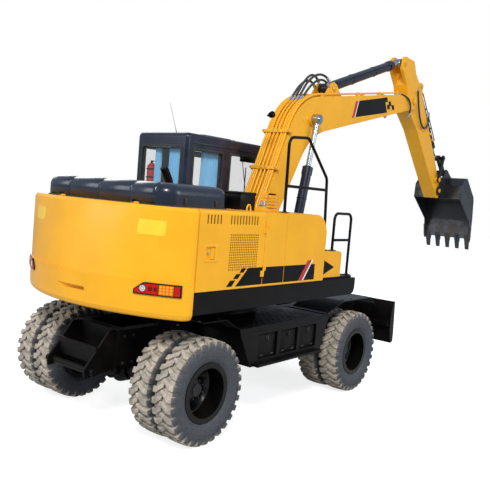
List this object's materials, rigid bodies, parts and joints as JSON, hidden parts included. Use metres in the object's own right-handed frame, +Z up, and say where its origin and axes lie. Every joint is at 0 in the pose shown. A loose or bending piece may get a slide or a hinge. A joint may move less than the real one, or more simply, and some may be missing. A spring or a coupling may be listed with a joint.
{
  "type": "wheeled excavator",
  "caption": "Wheeled excavator with twin tyres, a swinging body and cab, a jointed boom, arm and bucket, and a dozer blade at the front.",
  "frame": {"origin": "on the ground at the middle of the overall length and width", "axes": "+X towards the blade and bucket, +Y to the machine's left, +Z up"},
  "size_m": [9.78, 2.516, 5.0589],
  "materials": {
    "yellow_paint": "satin",
    "black_paint": "semi-gloss",
    "navy_paint": "semi-gloss",
    "dark_steel": "oiled",
    "worn_steel": "worn",
    "chrome_rod": "polished",
    "tyre_rubber": "dusty",
    "clear_glass": "clear",
    "lamp_lens": "moulded",
    "seat_cloth": "woven"
  },
  "bodies": {
    "chassis": {"chassis_frame": "black_paint", "slew_bearing": "dark_steel", "side_boxes": "black_paint", "mudguards": "black_paint", "axles": "black_paint"},
    "knuckle_left": {"knuckle_left": "black_paint"},
    "knuckle_right": {"knuckle_right": "black_paint"},
    "tie_rod": {"tie_rod": "worn_steel"},
    "wheels_front_left": {"tyres_front_left": "tyre_rubber", "rims_front_left": "black_paint"},
    "wheels_front_right": {"tyres_front_right": "tyre_rubber", "rims_front_right": "black_paint"},
    "wheels_rear_left": {"tyres_rear_left": "tyre_rubber", "rims_rear_left": "black_paint"},
    "wheels_rear_right": {"tyres_rear_right": "tyre_rubber", "rims_rear_right": "black_paint"},
    "blade_arms": {"blade_arms": "black_paint"},
    "blade_links": {"blade_links": "black_paint"},
    "blade": {"dozer_blade": "black_paint"},
    "blade_barrels": {"blade_barrels": "navy_paint"},
    "blade_rods": {"blade_rods": "chrome_rod"},
    "upper": {"upper_frame": "black_paint", "counterweight": "yellow_paint", "tail_lamps": "lamp_lens", "engine_block": "dark_steel", "exhaust": "black_paint", "house_panels": "yellow_paint", "tanks": "yellow_paint", "step_box": "yellow_paint", "handrails": "black_paint", "cab_shell": "navy_paint", "cab_roof": "navy_paint", "cab_glass": "clear_glass", "seat": "seat_cloth"},
    "hood": {"hood": "navy_paint"},
    "door_right": {"door_right": "yellow_paint"},
    "door_left": {"door_left": "yellow_paint"},
    "cab_door": {"cab_door": "navy_paint", "door_glass": "clear_glass"},
    "boom": {"boom": "yellow_paint", "boom_pipes": "yellow_paint"},
    "boom_barrels": {"boom_barrels": "navy_paint"},
    "boom_rods": {"boom_rods": "chrome_rod"},
    "arm_barrel": {"arm_barrel": "navy_paint"},
    "arm_rod": {"arm_rod": "chrome_rod"},
    "arm": {"arm": "yellow_paint"},
    "bucket_barrel": {"bucket_barrel": "navy_paint"},
    "bucket_rod": {"bucket_rod": "chrome_rod"},
    "rocker": {"rocker": "yellow_paint"},
    "bucket_link": {"bucket_link": "worn_steel"},
    "bucket": {"bucket": "worn_steel"}
  },
  "joints": [
    {"name": "steer_left", "type": "hinge", "parent": "chassis", "child": "knuckle_left", "pos_m": [-1.18, 0.56, 0.525], "axis": [0, 0, 1], "range_deg": [-28, 28]},
    {"name": "steer_right", "type": "hinge", "parent": "chassis", "child": "knuckle_right", "pos_m": [-1.18, -0.56, 0.525], "axis": [0, 0, 1], "range_deg": [-28, 28]},
    {"name": "tie_rod_slide", "type": "slide", "parent": "chassis", "child": "tie_rod", "axis": [0, 1, 0], "range_m": [-0.095, 0.095]},
    {"name": "roll_front_left", "type": "hinge", "parent": "knuckle_left", "child": "wheels_front_left", "pos_m": [-1.18, 0, 0.525], "axis": [0, 1, 0], "continuous": true},
    {"name": "roll_front_right", "type": "hinge", "parent": "knuckle_right", "child": "wheels_front_right", "pos_m": [-1.18, 0, 0.525], "axis": [0, 1, 0], "continuous": true},
    {"name": "roll_rear_left", "type": "hinge", "parent": "chassis", "child": "wheels_rear_left", "pos_m": [-4.1, 0, 0.525], "axis": [0, 1, 0], "continuous": true},
    {"name": "roll_rear_right", "type": "hinge", "parent": "chassis", "child": "wheels_rear_right", "pos_m": [-4.1, 0, 0.525], "axis": [0, 1, 0], "continuous": true},
    {"name": "blade_lift", "type": "hinge", "parent": "chassis", "child": "blade_arms", "pos_m": [-0.98, 0, 0.44], "axis": [0, 1, 0], "range_deg": [0, 44]},
    {"name": "blade_level", "type": "hinge", "parent": "blade_arms", "child": "blade", "pos_m": [-0.28, 0, 0.66], "axis": [0, 1, 0], "range_deg": [-44, 0]},
    {"name": "blade_link_turn", "type": "hinge", "parent": "chassis", "child": "blade_links", "pos_m": [-0.98, 0, 0.74], "axis": [0, 1, 0], "range_deg": [0, 44]},
    {"name": "blade_barrel_turn", "type": "hinge", "parent": "chassis", "child": "blade_barrels", "pos_m": [-0.8, 0, 1], "axis": [0, 1, 0], "range_deg": [0, 17]},
    {"name": "blade_rod_slide", "type": "slide", "parent": "blade_barrels", "child": "blade_rods", "axis": [0.585, 0, -0.8111], "range_m": [0, 0.324]},
    {"name": "swing", "type": "hinge", "parent": "chassis", "child": "upper", "pos_m": [-2.75, 0, 1.25], "axis": [0, 0, 1], "continuous": true},
    {"name": "hood_turn", "type": "hinge", "parent": "upper", "child": "hood", "pos_m": [-4.59, 0, 2.31], "axis": [0, -1, 0], "range_deg": [0, 55]},
    {"name": "door_right_turn", "type": "hinge", "parent": "upper", "child": "door_right", "pos_m": [-3.403, -1.25, 1.9], "axis": [0, 0, 1], "range_deg": [0, 100]},
    {"name": "door_left_turn", "type": "hinge", "parent": "upper", "child": "door_left", "pos_m": [-3.403, 1.25, 1.9], "axis": [0, 0, -1], "range_deg": [0, 100]},
    {"name": "cab_door_turn", "type": "hinge", "parent": "upper", "child": "cab_door", "pos_m": [-2.477, 1.25, 2.2], "axis": [0, 0, 1], "range_deg": [0, 120]},
    {"name": "boom_lift", "type": "hinge", "parent": "upper", "child": "boom", "pos_m": [-2.2, 0, 1.7], "axis": [0, -1, 0], "range_deg": [-50, 28]},
    {"name": "boom_barrel_turn", "type": "hinge", "parent": "upper", "child": "boom_barrels", "pos_m": [-1.51, 0, 1.52], "axis": [0, -1, 0], "range_deg": [-52.5, 29.4]},
    {"name": "boom_rod_slide", "type": "slide", "parent": "boom_barrels", "child": "boom_rods", "axis": [0.1947, 0, 0.9809], "range_m": [-0.585, 0.328]},
    {"name": "arm_swing", "type": "hinge", "parent": "boom", "child": "arm", "pos_m": [2.11, 0, 4.35], "axis": [0, 1, 0], "range_deg": [-17, 98]},
    {"name": "arm_barrel_turn", "type": "hinge", "parent": "boom", "child": "arm_barrel", "pos_m": [-0.53, 0, 4.12], "axis": [0, 1, 0], "range_deg": [-1.7, 9.8]},
    {"name": "arm_rod_slide", "type": "slide", "parent": "arm_barrel", "child": "arm_rod", "axis": [0.9368, 0, 0.3498], "range_m": [-0.182, 1.044]},
    {"name": "bucket_turn", "type": "hinge", "parent": "arm", "child": "bucket", "pos_m": [3.71, 0, 2.86], "axis": [0, -1, 0], "range_deg": [-125, 25]},
    {"name": "rocker_turn", "type": "hinge", "parent": "arm", "child": "rocker", "pos_m": [3.56, 0, 3.07], "axis": [0, -1, 0], "range_deg": [-114, 23]},
    {"name": "bucket_link_turn", "type": "hinge", "parent": "rocker", "child": "bucket_link", "pos_m": [3.68, 0, 3.5], "axis": [0, -1, 0], "range_deg": [-12, 58]},
    {"name": "bucket_barrel_turn", "type": "hinge", "parent": "arm", "child": "bucket_barrel", "pos_m": [2.54, 0, 4.695], "axis": [0, -1, 0], "range_deg": [-5, 1]},
    {"name": "bucket_rod_slide", "type": "slide", "parent": "bucket_barrel", "child": "bucket_rod", "axis": [0.6903, 0, -0.7236], "range_m": [-0.134, 0.666]}
  ],
  "couplings": [
    {"joint": "steer_right", "follows": "steer_left", "ratio": 1},
    {"joint": "tie_rod_slide", "follows": "steer_left", "m_per_rad": -0.192},
    {"joint": "blade_level", "follows": "blade_lift", "ratio": -1},
    {"joint": "blade_link_turn", "follows": "blade_lift", "ratio": 1},
    {"joint": "blade_barrel_turn", "follows": "blade_lift", "ratio": 0.38},
    {"joint": "blade_rod_slide", "follows": "blade_lift", "m_per_rad": 0.42},
    {"joint": "boom_barrel_turn", "follows": "boom_lift", "ratio": 1.05},
    {"joint": "boom_rod_slide", "follows": "boom_lift", "m_per_rad": 0.67},
    {"joint": "arm_barrel_turn", "follows": "arm_swing", "ratio": 0.1},
    {"joint": "arm_rod_slide", "follows": "arm_swing", "m_per_rad": 0.61},
    {"joint": "rocker_turn", "follows": "bucket_turn", "ratio": 0.91},
    {"joint": "bucket_link_turn", "follows": "bucket_turn", "ratio": -0.46},
    {"joint": "bucket_barrel_turn", "follows": "bucket_turn", "ratio": 0.04},
    {"joint": "bucket_rod_slide", "follows": "bucket_turn", "m_per_rad": -0.305}
  ]
}
